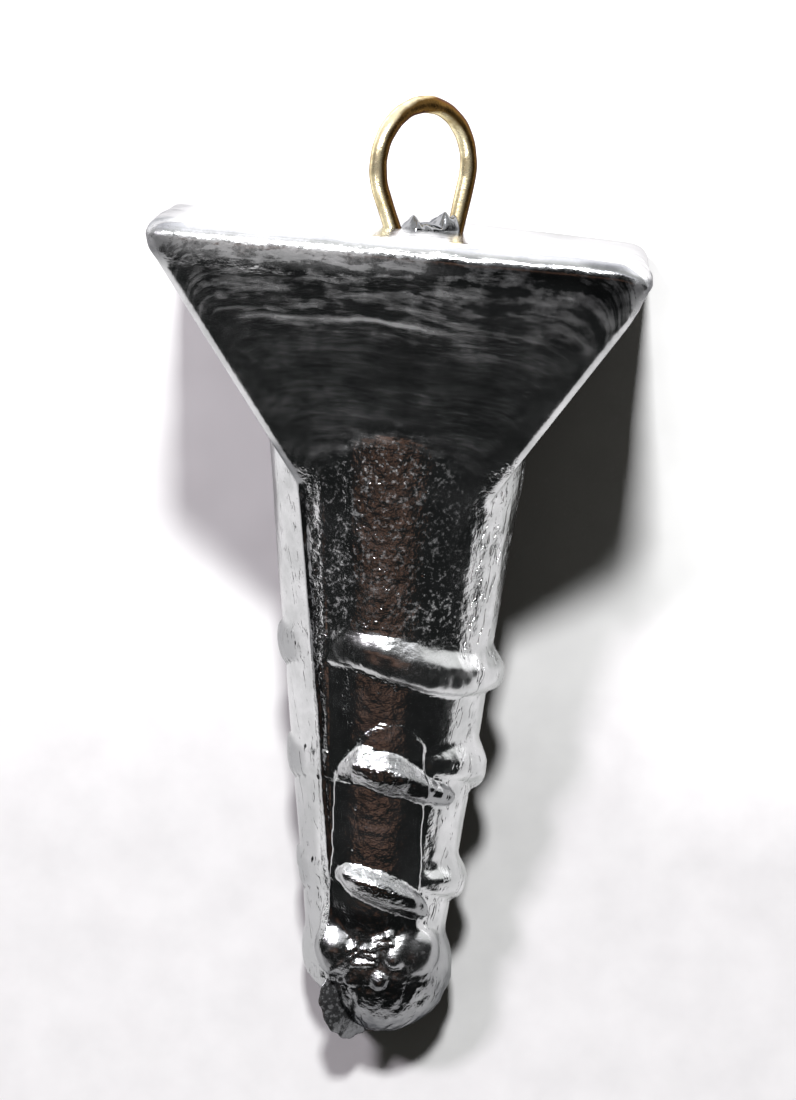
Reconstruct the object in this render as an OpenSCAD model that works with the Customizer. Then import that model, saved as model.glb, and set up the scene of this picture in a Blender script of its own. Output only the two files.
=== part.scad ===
// Pyramid sinker: a cast lead weight with a square pyramid head on a round
// tapered shaft, and a bent brass wire eye cast into the top of the head.
//
// The pieces are drawn standing up, with the middle of the head's top face at
// the origin, the shaft hanging down -Z, the front towards -Y and the right
// towards +X. lay_down() then rests the sinker on its back on the ground.

/* [Head] */
// Width of the square head
head_w = 28.4; // [25:0.2:32]
// Height of the straight band under the top face
band_h = 1.6; // [1.5:0.1:3]
// Depth below the top face at which the shaft leaves the middle of a flank
head_h = 11.3; // [9.5:0.1:14]
// Radius on the head's edges and corners
edge_r = 1.1; // [0.6:0.05:1.15]
// Slant of the top face, lower on the right
top_slant = 4; // [0:0.5:5]

/* [Shaft] */
// Diameter of the shaft where it leaves the middle of a flank
neck_d = 15.5; // [13:0.1:17]
// Diameter of the shaft at the middle of the knob
tip_d = 7.9; // [6.5:0.1:8.1]
// Depth of the knob's middle below the top face
knob_drop = 43.4; // [41:0.2:48]

/* [Ring ribs] */
// Depth of the first ring below the top face
ring_drop = 24.9; // [22:0.1:25.8]
// Distance from one ring to the next
ring_pitch = 6.5; // [5.8:0.1:6.8]
// Thickness of the half-round ribs
rib_t = 2.4; // [1.6:0.1:2.6]
// Height of the first ring above the shaft
rib_h = 0.85; // [0.5:0.05:1.1]
// Width of the bare strip at the mould seam, as an angle round the shaft
seam_gap = 24; // [16:1:32]

/* [Front panel] */
// Width of the raised panel on the front of the shaft
panel_w = 5.3; // [4.4:0.1:5.8]
// Depth of the panel's arched top below the head's top face
panel_drop = 28.3; // [27.8:0.1:28.9]
// Radius of the arched top
arch_r = 2.1; // [1.6:0.1:2.3]
// Height of the panel above the shaft
panel_h = 0.4; // [0.2:0.05:0.6]
// Depth of the upper front band below the head's top face
band_drop = 31.7; // [31:0.1:32.3]
// Distance from the upper front band to the lower one
band_pitch = 6.6; // [6:0.1:6.9]
// Slant of the front bands, lower on the right
band_slant = 12; // [6:1:16]

/* [Knob] */
// Diameter of the ball at the tip
knob_d = 8.2; // [8:0.1:9]
// Distance of the ball's middle to the right of the shaft's axis
knob_shift = 0.65; // [0:0.05:0.8]
// Diameter of the heel that swells the knob on the left
heel_d = 7; // [6:0.1:7.4]
// Diameter of the two lobes in front of the ball
lobe_d = 2.8; // [2.2:0.1:3.2]
// Thickness of the flash left in the mould seam at the tip
flash_t = 0.5; // [0.3:0.05:0.8]
// Distance that the flash stands out of the ball
flash_h = 0.9; // [0.4:0.05:1.2]

/* [Line eye] */
// Diameter of the brass wire
wire_d = 1.02; // [0.8:0.02:1.3]
// Radius of the loop, to the middle of the wire
eye_r = 3.6; // [3:0.05:4.2]
// Height of the loop's middle above the top face
eye_rise = 3.7; // [3:0.05:4.5]
// Distance of the loop's middle from the shaft's axis
eye_shift = 1; // [0:0.05:1.5]
// Inward lean of the left leg
left_lean = 26; // [16:1:30]
// Inward lean of the right leg
right_lean = 14; // [8:1:20]
// Depth of the legs in the lead
leg_depth = 3.6; // [3:0.1:4.4]
// Length of the foot at the end of each leg, buried in the lead
foot_l = 3; // [2:0.1:4]
// Gap between the wire and the lead round it
seat_gap = 0.02; // [0.01:0.01:0.05]

/* [Sprue stub] */
// Length of the rough stub where the pouring gate was cut off
sprue_l = 3.7; // [3:0.1:4]
// Height of the stub's highest tip
sprue_h = 0.8; // [0.4:0.05:1.2]
// Thickness of the stub
sprue_t = 1.5; // [1.2:0.1:2]

/* [Hidden] */

$fn = 64;
// Direction of the mould seam round the shaft, front left to rear right
seam_dir = 45;
front_dir = -90;

// Head: half width to the middle of an edge's rounding, and the flank's slope
head_half = head_w / 2;
core_half = head_half - edge_r;
flank_slope = (head_half - neck_d / 2) / (head_h - band_h);
// Share of the shaft's radius at which the pyramid's corners end inside it
root_share = 0.8;
taper = (neck_d - tip_d) / 2 / (knob_drop - head_h);
root_z = (sqrt(2) * (head_half + flank_slope * band_h) - root_share * shaft_r(0))
    / (sqrt(2) * flank_slope - root_share * taper);
root_half = head_half - flank_slope * (root_z - band_h);

// Radius of the shaft at a depth z below the top face
function shaft_r(z) = neck_d / 2 - taper * (z - head_h);

// Rings: their slants die out towards the tip
ring_count = 3;
ring_slants = [4, 3, 2];
ring_leans = [-5, -2, 0];
// The first ring starts at the seam, the others at the panel's right edge
ring_starts = [seam_dir - 180 + seam_gap / 2, front_dir + 33, front_dir + 40];
// A ring's height above the shaft shrinks with the shaft's radius
rib_share = rib_h / shaft_r(ring_drop);

// Front bands: where they start and end round the shaft, from the front
band_starts = [-28, -25];
band_ends = [62, 56];
band_count = 2;

// Knob: places of the heel and the lobes, right of, behind and above the
// ball's middle, as shares of its radius
ball_r = knob_d / 2;
heel_shares = [-0.24, 0.15, 0.2];
lobe_shares = [[-0.6, -0.6, 0.5], [0.55, -0.65, 0.46]];
flash_disc_share = 0.65;
flash_disc_r = flash_disc_share * ball_r;
// Direction of the flash, from straight down towards the front left
flash_turn = 40;
flash_at = ball_r + flash_h - flash_disc_r;

// Panel: the arch's middle, right of the shaft's axis, and the lower end
arch_shift_share = 0.28;
arch_shift = arch_shift_share * arch_r;
arch_z = panel_drop + arch_r;
panel_end_share = 0.54;
panel_end = knob_drop - panel_end_share * ball_r;

// Wire: how much thicker it is squeezed where it bends
bend_share = 1.03;

// Sprue stub: outline of the torn edge, as shares of its length and height
sprue_start = -0.1;
sprue_shares = [[0, 0], [0.03, 0.7], [0.12, 0.85], [0.22, 0.45], [0.5, 0.35],
    [0.6, 0.5], [0.66, 0.8], [0.86, 1], [1, 0.7], [1, 0]];

// Rest on the ground: the rear edge under the band and the ball touch it
edge_z = band_h - edge_r * tan(atan(flank_slope) / 2);
rest_run = knob_drop - edge_z;
lay_angle = atan2(core_half, rest_run)
    + asin((edge_r - ball_r) / norm([core_half, rest_run]));
// Roll that brings the whole slanted edge down
roll_angle = -asin(tan(top_slant) * tan(lay_angle));
rest_z = core_half * cos(lay_angle) + edge_z * sin(lay_angle) + edge_r;
// Ends of the sinker along the ground, before it is centred
eye_end = eye_rise * cos(lay_angle) + eye_shift * sin(seam_dir) * sin(lay_angle)
    + eye_r * norm([cos(lay_angle), sin(seam_dir) * sin(lay_angle)]) + wire_d / 2;
tip_end = -knob_drop * cos(lay_angle) - flash_at * cos(flash_turn + lay_angle * sin(seam_dir))
    - flash_disc_r;
rest_y = -(eye_end + tip_end) / 2;

// Lays a standing shape down on its back, over the origin
module lay_down() {
    translate([0, rest_y, rest_z])
        rotate([lay_angle - 90, 0, 0])
        rotate([0, 0, roll_angle])
        children();
}

// Outline of the head seen from one side: the band and the two flanks, with
// rounded corners; rise is how far the top's left end stands above its middle
module head_outline(rise) {
    offset(edge_r)
        offset(delta = -edge_r)
        polygon([[-head_half, rise], [head_half, -rise], [head_half, -rise - band_h],
            [root_half, -root_z], [-root_half, -root_z], [-head_half, rise - band_h]]);
}

// Square head: a band under the slanted top, and flanks that run into the shaft
module head() {
    intersection() {
        translate([0, head_w / 2, 0])
            rotate([90, 0, 0])
            linear_extrude(head_w)
            head_outline(head_half * tan(top_slant));
        rotate([0, top_slant, 0])
            translate([-head_w, 0, 0])
            rotate([90, 0, 90])
            linear_extrude(2 * head_w)
            head_outline(0);
        translate([0, 0, -root_z])
            linear_extrude(2 * root_z)
            offset(edge_r)
            square(2 * core_half, center = true);
    }
}

// Round tapered shaft, from inside the head to the middle of the knob
module shaft(extra = 0) {
    translate([0, 0, -knob_drop])
        cylinder(h = knob_drop - band_h, r1 = tip_d / 2 + extra, r2 = shaft_r(band_h) + extra);
}

// Half-round rib along an arc of the shaft
module rib(depth, slant, lean, from, to) {
    r = rib_t / 2;
    arc_r = shaft_r(depth) * (1 + rib_share) - r;
    translate([0, 0, -depth])
        rotate([lean, slant, 0])
        rotate([0, 0, from])
        rotate_extrude(angle = to - from)
        translate([arc_r, 0])
        circle(r);
}

// Rings round the shaft, broken at the two mould seams
module rings() {
    for (i = [0 : ring_count - 1]) {
        depth = ring_drop + i * ring_pitch;
        rib(depth, ring_slants[i], ring_leans[i], ring_starts[i],
            seam_dir - seam_gap / 2);
        rib(depth, ring_slants[i], ring_leans[i], seam_dir + seam_gap / 2,
            seam_dir + 180 - seam_gap / 2);
    }
}

// Slanted bands across the front panel
module front_bands() {
    for (i = [0 : band_count - 1])
        rib(band_drop + i * band_pitch, band_slant, 0, front_dir + band_starts[i],
            front_dir + band_ends[i]);
}

// Raised panel with an arched top on the front of the shaft
module panel() {
    intersection() {
        shaft(panel_h);
        rotate([90, 0, 0])
            linear_extrude(neck_d)
            union() {
                translate([arch_shift, -arch_z])
                    circle(arch_r);
                translate([arch_shift - arch_r, -band_drop])
                    square([2 * arch_r, band_drop - arch_z]);
                translate([-panel_w / 2, -panel_end])
                    square([panel_w, panel_end - band_drop]);
            }
    }
}

// Ball at the tip, with its heel and its two front lobes
module knob() {
    translate([knob_shift, 0, -knob_drop])
        sphere(ball_r);
    translate([0, 0, -knob_drop]) {
        translate(ball_r * heel_shares)
            sphere(heel_d / 2);
        for (shares = lobe_shares)
            translate(ball_r * shares)
                sphere(lobe_d / 2);
    }
}

// Thin crescent of flash squeezed out of the mould seam at the tip
module flash() {
    translate([0, 0, -knob_drop])
        rotate([0, 0, seam_dir])
        rotate([0, flash_turn, 0])
        translate([0, flash_t / 2, -flash_at])
        rotate([90, 0, 0])
        cylinder(h = flash_t, r = flash_disc_r);
}

// Torn stub of the pouring gate, along the seam between the eye's legs
module sprue() {
    rotate([0, 0, seam_dir])
        translate([sprue_start, sprue_t / 2, 0])
        rotate([90, 0, 0])
        linear_extrude(sprue_t)
        polygon([for (p = concat([[0, -1]], sprue_shares, [[1, -1]]))
            [p[0] * sprue_l, p[1] * sprue_h]]);
}

// One leg of the eye, from the end of the loop's arc to its buried foot
// side is 1 for the right leg and -1 for the left one
module leg(side, lean, r) {
    top_x = eye_shift + side * eye_r * cos(lean);
    top_z = eye_rise - eye_r * sin(lean);
    run = (top_z + leg_depth) / cos(lean);
    knee_x = top_x - side * run * sin(lean);
    translate([top_x, 0, top_z])
        rotate([0, side * lean, 0])
        translate([0, 0, -run])
        cylinder(h = run, r = r);
    translate([top_x, 0, top_z])
        sphere(r * bend_share);
    translate([knee_x, 0, -leg_depth]) {
        sphere(r * bend_share);
        rotate([0, side * 90, 0])
            cylinder(h = foot_l, r = r);
    }
}

// Bent wire: a round loop and two leaning legs with feet, in the seam's plane
module wire(r) {
    rotate([0, 0, seam_dir]) {
        translate([eye_shift, 0, eye_rise])
            rotate([90, 0, 0])
            rotate([0, 0, -right_lean])
            rotate_extrude(angle = 180 + right_lean + left_lean)
            translate([eye_r, 0])
            circle(r);
        leg(1, right_lean, r);
        leg(-1, left_lean, r);
    }
}

module lead_casting() {
    color("dimgray")
        lay_down()
        difference() {
            union() {
                head();
                shaft();
                rings();
                panel();
                front_bands();
                knob();
                flash();
                sprue();
            }
            wire(wire_d / 2 + seat_gap);
        }
}

module wire_eye() {
    color("goldenrod")
        lay_down()
        wire(wire_d / 2);
}

lead_casting();
wire_eye();
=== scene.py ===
"""A cast lead pyramid sinker with a brass wire eye, lying on its back on a pale floor."""

from types import SimpleNamespace

import bpy
import numpy as np
from mathutils import Matrix, Vector


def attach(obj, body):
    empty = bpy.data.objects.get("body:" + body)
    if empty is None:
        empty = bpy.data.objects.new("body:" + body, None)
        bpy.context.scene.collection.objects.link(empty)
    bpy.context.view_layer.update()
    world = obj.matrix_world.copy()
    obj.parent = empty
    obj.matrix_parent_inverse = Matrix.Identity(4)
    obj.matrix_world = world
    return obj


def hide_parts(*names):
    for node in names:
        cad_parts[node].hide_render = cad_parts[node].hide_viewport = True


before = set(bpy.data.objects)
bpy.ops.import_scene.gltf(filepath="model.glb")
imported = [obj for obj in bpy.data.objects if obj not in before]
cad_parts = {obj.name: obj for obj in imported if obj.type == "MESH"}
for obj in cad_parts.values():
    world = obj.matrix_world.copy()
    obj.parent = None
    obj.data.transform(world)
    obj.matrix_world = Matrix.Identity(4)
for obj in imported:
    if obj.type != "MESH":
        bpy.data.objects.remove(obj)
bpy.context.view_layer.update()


# Lead casting
# One pour of lead in a two-part mould: a square pyramid head on a round tapered shaft with ring
# ribs, a raised front panel, and a lobed knob at the tip.

# Sizes are in millimetres of the standing sinker, with zero at the middle of the top face
MM = 0.001
head_w = 28.4
band_h = 1.6
edge_r = 1.1
corner_r = 1.0
flank_corner_r = 0.55
top_slant = np.radians(4.0)
neck_r = 7.75
head_h = 11.3
side_slope = 0.635
knob_drop = 43.4
tip_r = 3.95
ball_r = 4.1
ball_shift = 0.65
head_half = head_w / 2
core_half = head_half - edge_r
front_slope = (head_half - neck_r) / (head_h - band_h)
taper = (neck_r - tip_r) / (knob_drop - head_h)

# The sinker rests on the rear edge under the band and on the ball
edge_z = band_h - edge_r * np.tan(np.arctan(front_slope) / 2)
rest_run = knob_drop - edge_z
lay_angle = np.arctan2(core_half, rest_run) + np.arcsin((edge_r - ball_r) / np.hypot(core_half, rest_run))
roll_angle = -np.arcsin(np.tan(top_slant) * np.tan(lay_angle))
rest_z = core_half * np.cos(lay_angle) + edge_z * np.sin(lay_angle) + edge_r
rest_y = 19.29
lay = np.array(Matrix.Rotation(lay_angle - np.pi / 2, 3, "X") @ Matrix.Rotation(roll_angle, 3, "Z"))


def lay_down(points):
    """Standing millimetres to metres in the frame: turned onto its back, then moved to its rest place."""
    laid = points @ lay.T + np.array([0.0, rest_y, rest_z])
    return laid * MM


def skin(name, grid, marks):
    """A closed mesh over a grid of points, rows by columns, as quads: the last column joins the
    first, and each end row closes on its mean point. Marks are named values per point."""
    rows, cols, _ = grid.shape
    here = np.arange(rows * cols).reshape(rows, cols)
    beside = np.roll(here, -1, axis=1)
    quads = np.stack([here[:-1], here[1:], beside[1:], beside[:-1]], axis=-1).reshape(-1, 4)
    top = np.stack([np.full(cols, rows * cols), here[0], beside[0]], axis=-1)
    end = np.stack([np.full(cols, rows * cols + 1), beside[-1], here[-1]], axis=-1)
    points = np.vstack([grid.reshape(-1, 3), grid[0].mean(axis=0), grid[-1].mean(axis=0)])
    mesh = bpy.data.meshes.new(name)
    mesh.from_pydata(lay_down(points).tolist(), [], quads.tolist() + top.tolist() + end.tolist())
    for label, values in marks.items():
        flat = np.concatenate([values.reshape(-1), [values[0].mean(), values[-1].mean()]])
        mesh.attributes.new(label, "FLOAT", "POINT").data.foreach_set("value", flat.astype(np.float32))
    mesh.shade_smooth()
    mesh.update()
    piece = bpy.data.objects.new(name, mesh)
    bpy.context.scene.collection.objects.link(piece)
    return piece


def step(low, high, value):
    """Smooth step: 0 below low, 1 above high, and 3t^2 - 2t^3 between them."""
    t = np.clip((value - low) / (high - low), 0.0, 1.0)
    return t * t * (3.0 - 2.0 * t)


def window(value, low, full, fall, high):
    """Smooth window: a step up from low to full, and a step down again from fall to high."""
    return step(low, full, value) * (1.0 - step(fall, high, value))


def arc_window(turn, first, last, fade):
    """1 between two directions round the shaft, in degrees from the front, fading over fade degrees."""
    middle, half = (first + last) / 2, (last - first) / 2
    away = np.abs((turn - middle + 180.0) % 360.0 - 180.0)
    return 1.0 - step(half - fade, half, away)


def soft_max(a, b, width, sink=0.25):
    """Larger of two values with a rounded crease: the mean plus half the root of gap^2 + width^2,
    less the share sink of the width."""
    return 0.5 * (a + b + np.sqrt((a - b) ** 2 + width**2)) - sink * width


place_primes = (73856093, 19349663, 83492791)
seed_prime = 2654435761
shuffle_primes = (2246822519, 3266489917)
all_bits = 0xFFFFFFFF
kept_bits = 0xFFFFFF


def lattice_noise(x, y, z, size, seed):
    """Value noise: a random number from -1 to 1 at each corner of a cubic lattice, blended smoothly.
    The number comes from the corner's place times three primes, mixed with the seed and shuffled."""
    cells = [np.floor(c / size).astype(np.int64) for c in (x, y, z)]
    parts = [c / size - cell for c, cell in zip((x, y, z), cells)]
    parts = [t * t * (3.0 - 2.0 * t) for t in parts]
    total = np.zeros(np.shape(x))
    for corner in range(8):
        offset = [(corner >> k) & 1 for k in range(3)]
        mixed = sum((cell + o) * prime for cell, o, prime in zip(cells, offset, place_primes))
        mixed = (mixed ^ (seed * seed_prime)) & all_bits
        mixed = ((mixed ^ (mixed >> 15)) * shuffle_primes[0]) & all_bits
        mixed = ((mixed ^ (mixed >> 13)) * shuffle_primes[1]) & all_bits
        value = ((mixed ^ (mixed >> 16)) & kept_bits) / float(kept_bits) * 2.0 - 1.0
        weight = 1.0
        for o, t in zip(offset, parts):
            weight = weight * (t if o else 1.0 - t)
        total = total + weight * value
    return total


def square_reach(half_x, half_y, corner, turn):
    """Distance from the middle to the edge of a rectangle with rounded corners, in the direction
    turn from the front: the nearer of the two sides, or where the corner's arc is met."""
    across, along = np.abs(np.sin(turn)), np.abs(np.cos(turn))
    flat = np.minimum(half_x / np.maximum(across, 1e-9), half_y / np.maximum(along, 1e-9))
    kx, ky = half_x - corner, half_y - corner
    middle = kx * across + ky * along
    arc = middle + np.sqrt(np.maximum(middle**2 - kx**2 - ky**2 + corner**2, 0.0))
    at_corner = (flat * across > kx) & (flat * along > ky)
    return np.where(at_corner, arc, flat)


def ball_reach(turn, z, centre, radius):
    """Distance from the axis to the far side of a ball, along the direction turn at height z,
    or a negative number where the level misses it."""
    cx, cy, cz = centre
    ahead = cx * np.sin(turn) - cy * np.cos(turn)
    aside = cx * np.cos(turn) + cy * np.sin(turn)
    room = radius**2 - (z - cz) ** 2 - aside**2
    return np.where(room > 0, ahead + np.sqrt(np.maximum(room, 0.0)), -1.0)


def cone_radius(z):
    """Radius of the shaft at height z: straight taper from the neck to the ball."""
    return neck_r - taper * (-z - head_h)


# Rows of the grid on each stretch of the casting, where the stretches meet, and the columns,
# which crowd toward the head's corners
top_rows = 14
bend_rows = 12
band_rows = 5
flank_rows = 37
shaft_rows = 157
ball_rows = 71
first_half = 0.4
flank_drop = band_h + 0.4
neck_drop = head_h + 0.6
ball_rise = 2.9
last_turn = np.radians(89.0)
columns = 330
crowding = 0.11


def casting_rows():
    """Rows of the casting from the top face to the tip: how far each is below the top, and for
    the top face and its rounded edge the half width that it has reached."""
    flat = np.linspace(first_half, core_half, top_rows + 1)[:-1]
    bend = np.linspace(0.0, np.pi / 2, bend_rows)
    band = np.linspace(edge_r, flank_drop, band_rows + 1)[1:]
    flank = np.linspace(flank_drop, neck_drop, flank_rows + 1)[1:]
    shaft = np.linspace(neck_drop, knob_drop - ball_rise, shaft_rows + 1)[1:]
    ball = np.linspace(-np.arcsin(ball_rise / ball_r), last_turn, ball_rows + 1)[1:]
    drop = np.concatenate([
        np.zeros(flat.size), edge_r * (1 - np.cos(bend)), band, flank, shaft,
        knob_drop + ball_r * np.sin(ball),
    ])
    inset = np.concatenate([flat, core_half + edge_r * np.sin(bend)])
    return drop, inset


band_rise = 0.15
band_crease = 0.22
corner_run = 1.2
least_half = 0.5


def casting_grid():
    """Direction and drop of each point, and the half widths and corner radius of the head's section
    there. The flanks start under the band, a little higher at the right front, with the soft crease
    of log(1 + e^t), and the columns lean with the section's corners."""
    drops, inset = casting_rows()
    even = np.linspace(0, 2 * np.pi, columns, endpoint=False)
    turn, drop = np.meshgrid(even + crowding * np.sin(4 * even), drops)
    start = band_h - band_rise - band_rise * step(-0.4, 0.6, np.sin(turn)) * (np.cos(turn) > 0)
    below = np.log1p(np.exp((drop - start) / band_crease)) * band_crease
    half_x = np.maximum(head_half - side_slope * below, least_half)
    half_y = np.maximum(head_half - front_slope * below, least_half)
    cap = np.arange(drops.size) < inset.size
    half_x[cap] = inset[:, None]
    half_y[cap] = inset[:, None]
    skew = 1 + (half_x / half_y - 1) * (1 - step(11, 15, drop)) * (half_y > 5)
    turn = np.arctan2(skew * np.sin(turn), np.cos(turn)) % (2 * np.pi)
    corner = np.interp(drop, [band_h, band_h + corner_run], [corner_r, flank_corner_r])
    corner = np.minimum(corner, 0.9 * np.minimum(half_x, half_y))
    return turn, drop, half_x, half_y, corner, cap[:, None]


# Mould seam on the front left, as its drops and its directions in degrees from the front. Left of
# it the other mould half stands proud, and right of it, as far as flat_end, the metal chilled first.
seam_drops = [14.4, 23.7, 27.2, 33.2, 37.3, 43.4]
seam_turns = [-47, -43, -40, -38, -35, -34]
facet_turn = -57.0
facet_rise = 0.12
flat_end = -19.0


def shaft_shape(radius, seam, x, y, z, degrees, drop):
    """Radius of the bare shaft: the cone with a little noise, a flat facet left of the seam and a
    chord right of it. A flat's reach is its distance over the cosine of the turn from its middle."""
    bare = radius + 0.05 * lattice_noise(x, y, z, 5.0, 3) + 0.03 * lattice_noise(x, y, z, 2.1, 4)
    edge = (radius + facet_rise) * np.cos(np.radians(facet_turn - seam))
    facet = edge / np.cos(np.radians(np.clip(degrees - facet_turn, 0, 40)))
    ledge = (1 - step(seam - 1.0, seam + 1.2, degrees)) * (degrees > facet_turn)
    ledge = ledge * (1 - step(knob_drop - 3.0, knob_drop - 1.0, drop))
    shaped = bare + ledge * (np.maximum(bare, facet) - bare)
    flat_mid, flat_half = (seam + flat_end) / 2, (flat_end - seam) / 2
    beside = np.abs(degrees - flat_mid) < flat_half
    chord = radius * np.cos(np.radians(flat_half))
    chord = chord / np.cos(np.radians(np.clip(degrees - flat_mid, -30, 30)))
    return shaped + beside * (chord - radius) * (1 - ledge) * (1 - step(28.0, 30.5, drop))


panel_half = 2.55
panel_drop = 28.3
panel_foot = 41.3
foot_r = 1.2
band_drop = 31.7
arch_r = 2.1
arch_shift = 0.6
panel_drops = [28.3, 30.5, 32.0, 38.8, 41.0]
panel_rises = [0.07, 0.25, 0.4, 0.38, 0.05]


def panel_height(x, z):
    """Height of the raised front panel: a strip with an arched top and soft, wavy edges, low at
    both ends. Each outline is a distance that is negative inside it."""
    arch = np.hypot(x - arch_shift, z + panel_drop + arch_r) - arch_r
    arch = np.where(z > -(panel_drop + arch_r), arch, np.abs(x - arch_shift) - arch_r)
    strip = np.maximum(np.abs(x) - panel_half, z + band_drop)
    inside = np.minimum(np.where(z < -(band_drop + 0.4), 1.0, arch), strip)
    past_side = np.maximum(np.abs(x) - panel_half + foot_r, 0)
    past_foot = np.maximum(-z - panel_foot + foot_r, 0)
    foot = np.hypot(past_side, past_foot) - foot_r
    wavy = 0.07 * lattice_noise(x, x, z, 0.8, 41)
    edge = step(-0.09, 0.05, np.maximum(inside, foot) + wavy)
    return np.interp(-z, panel_drops, panel_rises) * (1.0 - edge)


# Rings, from the head down: drops, slants and leans. The levels between them follow.
# Behind, their half widths and the share of their rise change with the direction from the front.
ring_drops = [24.9, 31.4, 37.9]
ring_slants = np.tan(np.radians([4.0, 3.0, 2.0]))
ring_leans = np.tan(np.radians([5.0, 2.0, 0.0]))
ring_rise = 0.85
ring_half_turns = [150, 280, 310]
ring_halves = [1.2, 1.2, 0.8]
ring_turns = [146, 156, 240, 270, 296, 317]
ring_shares = [0, 1, 0.8, 0.5, 0.25, 0]
level_end = 42.0
level_drops = [17.0, *ring_drops, level_end]
level_slants = [ring_slants[0], *ring_slants, 0.0]
level_leans = [0.0, *ring_leans, 0.0]


def back_rings(shaped, radius, turn, x, y, z):
    """Ring ribs behind, between the two seams: each is a half ellipse in section, the root of
    1 - t^2, along a level that slants and leans, and is pinched out before the seams."""
    behind = np.degrees(turn)
    ringed = np.zeros(turn.shape)
    for i, ring in enumerate(ring_drops):
        size = cone_radius(-ring) / cone_radius(-ring_drops[0])
        middle = -ring - ring_slants[i] * radius * np.sin(turn) + ring_leans[i] * radius * np.cos(turn)
        away = (z - middle) / np.interp(behind, ring_half_turns, ring_halves)
        rise = ring_rise * size * np.interp(behind, ring_turns, ring_shares)
        height = rise * np.sqrt(np.maximum(1 - away**2, 0.0)) - 0.3 * (np.abs(away) >= 1)
        height = height + 0.06 * lattice_noise(x, y, z, 1.4, 11 + i)
        ringed = np.maximum(ringed, step(0.0, 0.15, height))
        shaped = np.where(np.abs(away) < 1.3, soft_max(shaped, radius + height, 0.2), shaped)
    return shaped, ringed


# Front ribs, each as its course round the shaft: degrees from the front, level, half width and
# rise, and then the share of the half width that its upper side has. The first is thick on the
# front and pinched out before the seam, the next two are low beside the panel and full at the
# right, and the last two are the slanted bands on the panel.
front_ribs = [
    ([-37, -30, -21, -8, 6, 24, 49, 74, 90, 124],
     [-24.4, -24.1, -23.8, -23.95, -24.3, -24.87, -25.3, -25.3, -25.5, -25.6],
     [0.5, 0.85, 1.2, 1.45, 1.58, 1.6, 1.45, 1.4, 1.4, 1.2],
     [0.0, 0.1, 0.28, 0.52, 0.6, 0.64, 0.75, 0.85, 0.85, 0.0], 0.95),
    ([25, 34, 44, 59, 79, 90, 124],
     [-30.7, -30.75, -30.75, -30.75, -30.9, -31.3, -31.4],
     [0.4, 0.7, 0.95, 1.15, 1.4, 1.5, 1.2],
     [0.0, 0.25, 0.4, 0.6, 0.8, 0.8, 0.0], 1.1),
    ([25, 34, 46, 62, 76, 90, 124],
     [-37.75, -37.75, -37.85, -37.9, -37.95, -38.1, -38.2],
     [0.3, 0.6, 0.85, 1.05, 1.25, 1.35, 1.1],
     [0.0, 0.35, 0.5, 0.65, 0.75, 0.75, 0.0], 1.1),
    ([-31, -25, -19, -11, 3, 14, 28, 39, 49, 57],
     [-31.4, -31.2, -30.9, -30.65, -30.97, -31.3, -31.95, -32.35, -32.6, -32.7],
     [0.1, 0.5, 0.9, 1.15, 1.35, 1.25, 1.05, 0.85, 0.7, 0.2],
     [0.0, 0.2, 0.48, 0.7, 0.76, 0.72, 0.66, 0.7, 0.6, 0.0], 0.86),
    ([-28, -24, -19, -10, 6, 21, 30, 40, 47],
     [-37.4, -37.3, -37.4, -37.65, -38.1, -38.6, -39.0, -39.4, -39.6],
     [0.1, 0.5, 0.9, 1.1, 1.2, 1.1, 0.95, 0.7, 0.2],
     [0.0, 0.3, 0.58, 0.7, 0.74, 0.7, 0.62, 0.55, 0.0], 0.86),
]
first_band = 3
rib_power = 4.0
band_power = 2.4
crest = 0.12
crest_root = 0.35
least_fall = 0.15
sunk_rise = -0.3


def rib_height(degrees, z, course, power):
    """Height of a rib over what it lies on: from its crest it falls by the given power toward the
    tip, and as a nearly straight slope, the root of distance^2 + crest, toward the head. Its level,
    half width and rise are read from the course's points at each direction."""
    turns, levels, halves, rises, spread = course
    away = z - np.interp(degrees, turns, levels)
    half = np.interp(degrees, turns, halves)
    rise = np.interp(degrees, turns, rises, left=sunk_rise, right=sunk_rise)
    fall = np.maximum(rise, least_fall)
    slope = (np.sqrt(away**2 + crest) - crest_root) / (np.sqrt((spread * half) ** 2 + crest) - crest_root)
    height = np.where(away > 0, rise - fall * slope, rise - fall * np.abs(away / half) ** power)
    return np.where(rise > 0, np.maximum(height, sunk_rise), sunk_rise)


def rib_shapes(shaped, radius, panel, degrees, x, y, z):
    """The soft maximum of the front ribs and what they lie on: the cone, or the panel for its two
    bands, which are rougher. Noise of two sizes makes them uneven."""
    on_rib = np.zeros(z.shape)
    banded = np.zeros(z.shape)
    for i, course in enumerate(front_ribs):
        on_panel = i >= first_band
        height = rib_height(degrees, z, course, band_power if on_panel else rib_power)
        on_rib = np.maximum(on_rib, step(0.0, 0.15, height))
        banded = np.maximum(banded, step(0.0, 0.15, height) * on_panel)
        under = radius + panel if on_panel else radius
        rugged = (0.1 if on_panel else 0.05) * lattice_noise(x, y, z, 0.8, 21 + i)
        rugged = rugged + (0.1 if on_panel else 0.03) * lattice_noise(x, y, z, 0.4, 26 + i)
        risen = soft_max(shaped, under + height + rugged * (height > 0), 0.07)
        shaped = np.where(height > -0.25, risen, shaped)
    return shaped, on_rib, banded


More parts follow.
